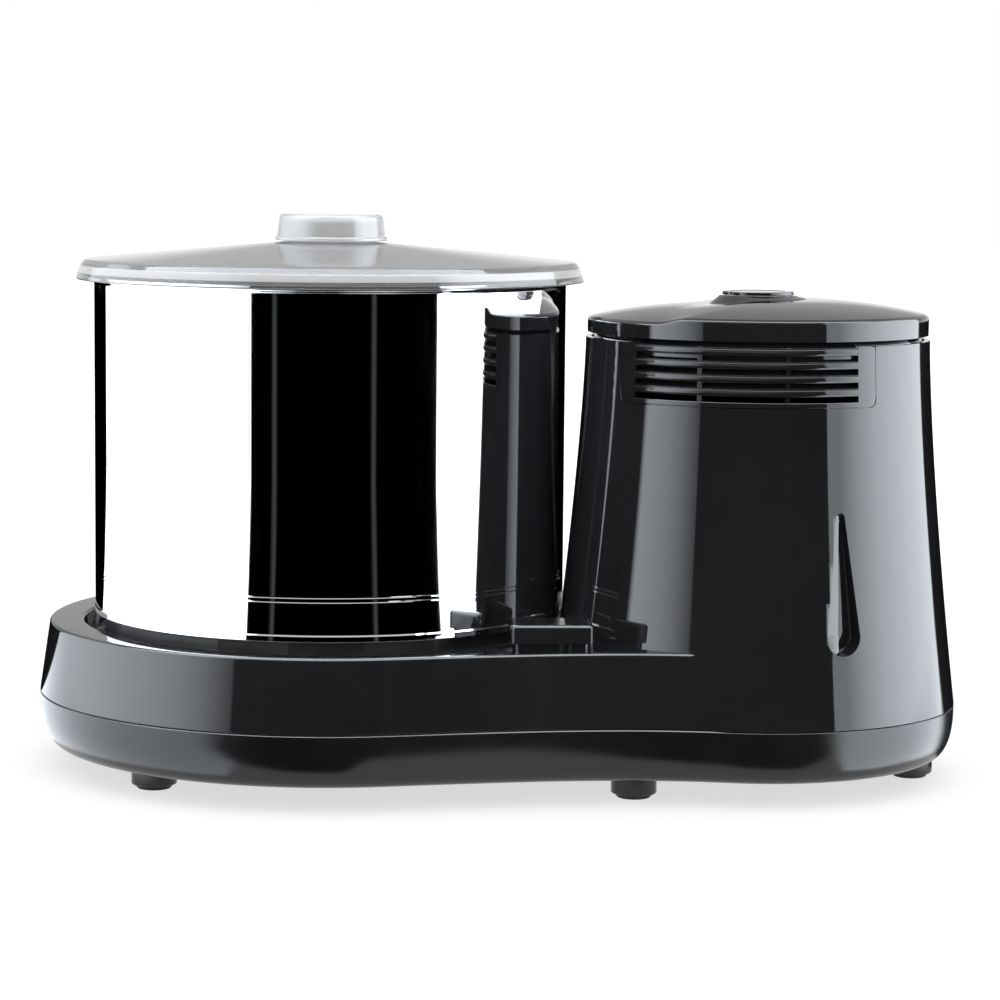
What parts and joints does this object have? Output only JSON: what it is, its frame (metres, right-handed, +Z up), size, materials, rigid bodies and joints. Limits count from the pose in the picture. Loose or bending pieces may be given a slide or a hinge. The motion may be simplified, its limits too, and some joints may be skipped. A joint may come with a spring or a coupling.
{
  "type": "wet grinder",
  "caption": "Tabletop wet grinder with a lift-out steel drum, granite floor and roller stones under a clear domed lid, belt-driven from a motor tower on a moulded base.",
  "frame": {"origin": "centre of the footprint on the table", "axes": "+Z up, +X from the drum towards the motor tower, front with the power paddle towards -Y"},
  "size_m": [0.439, 0.278, 0.263],
  "materials": {
    "gloss_black": "mirror gloss",
    "pan_black": "satin",
    "foot_rubber": "matte",
    "polished_steel": "mirror polished",
    "plain_steel": "machined",
    "lamination_steel": "stacked",
    "cast_aluminium": "as cast",
    "copper_wire": "lacquered wire",
    "granite": "honed",
    "clear_plastic": "clear",
    "white_nylon": "moulded",
    "dark_moulding": "moulded"
  },
  "bodies": {
    "base": {"base_housing": "gloss_black", "bottom_pan": "pan_black", "foot_front_left": "foot_rubber", "foot_back_left": "foot_rubber", "foot_front_middle": "foot_rubber", "foot_back_middle": "foot_rubber", "foot_end": "foot_rubber", "vent_grille_front": "gloss_black", "vent_grille_back": "gloss_black", "tower_lid": "gloss_black", "tower_cover": "gloss_black", "power_switch_body": "dark_moulding", "cable_gland": "foot_rubber", "motor_plate": "plain_steel", "motor_lower_bracket": "cast_aluminium", "stator_core": "lamination_steel", "lower_winding": "copper_wire", "upper_winding": "copper_wire", "motor_upper_bracket": "cast_aluminium", "drive_belt": "foot_rubber", "bearing_housing": "cast_aluminium", "lower_bearing": "plain_steel", "upper_bearing": "plain_steel", "centre_shaft": "plain_steel", "run_capacitor": "dark_moulding"},
    "motor_rotor": {"rotor": "plain_steel", "cooling_fan": "dark_moulding", "motor_pulley": "cast_aluminium"},
    "power_switch": {"power_paddle": "gloss_black"},
    "drum_drive": {"drum_pulley": "cast_aluminium", "drive_spindle": "plain_steel", "drive_coupling": "cast_aluminium"},
    "drum": {"drum_shell": "polished_steel", "drum_floor_stone": "granite", "drum_centre_tube": "plain_steel", "drum_base": "dark_moulding"},
    "centre_bush": {"roller_bush": "white_nylon"},
    "roller_unit": {"roller_frame": "cast_aluminium", "roller_handle": "dark_moulding", "scraper": "white_nylon", "roller_axle_front": "plain_steel", "roller_axle_back": "plain_steel", "axle_nut_front": "plain_steel", "axle_nut_back": "plain_steel"},
    "front_roller": {"roller_stone_front": "granite"},
    "back_roller": {"roller_stone_back": "granite"},
    "lid": {"drum_lid": "clear_plastic", "lid_knob": "clear_plastic"}
  },
  "joints": [
    {"name": "drum_spin", "type": "hinge", "parent": "base", "child": "drum_drive", "pos_m": [-0.0805, 0, 0.0455], "axis": [0, 0, 1], "continuous": true},
    {"name": "motor_spin", "type": "hinge", "parent": "base", "child": "motor_rotor", "pos_m": [0.1235, 0, 0.08], "axis": [0, 0, 1], "continuous": true},
    {"name": "switch_rock", "type": "hinge", "parent": "base", "child": "power_switch", "pos_m": [0.03593, -0.08389, 0.0767], "axis": [0.9848, 0.1736, 0], "range_deg": [-4, 4]},
    {"name": "drum_lift", "type": "slide", "parent": "drum_drive", "child": "drum", "axis": [0, 0, 1], "range_m": [0, 0.14]},
    {"name": "bush_hold", "type": "hinge", "parent": "drum", "child": "centre_bush", "pos_m": [-0.0805, 0, 0.1517], "axis": [0, 0, 1], "continuous": true},
    {"name": "roller_lift", "type": "slide", "parent": "centre_bush", "child": "roller_unit", "axis": [0, 0, 1], "range_m": [0, 0.14]},
    {"name": "front_roller_spin", "type": "hinge", "parent": "roller_unit", "child": "front_roller", "pos_m": [-0.0805, -0.059, 0.1393], "axis": [0, -1, 0], "continuous": true},
    {"name": "back_roller_spin", "type": "hinge", "parent": "roller_unit", "child": "back_roller", "pos_m": [-0.0805, 0.059, 0.1393], "axis": [0, 1, 0], "continuous": true},
    {"name": "lid_lift", "type": "slide", "parent": "roller_unit", "child": "lid", "axis": [0, 0, 1], "range_m": [0, 0.1]}
  ],
  "couplings": [
    {"joint": "motor_spin", "follows": "drum_spin", "ratio": 8},
    {"joint": "bush_hold", "follows": "drum_spin", "ratio": -1},
    {"joint": "front_roller_spin", "follows": "drum_spin", "ratio": 1.5526},
    {"joint": "back_roller_spin", "follows": "drum_spin", "ratio": 1.5526}
  ]
}
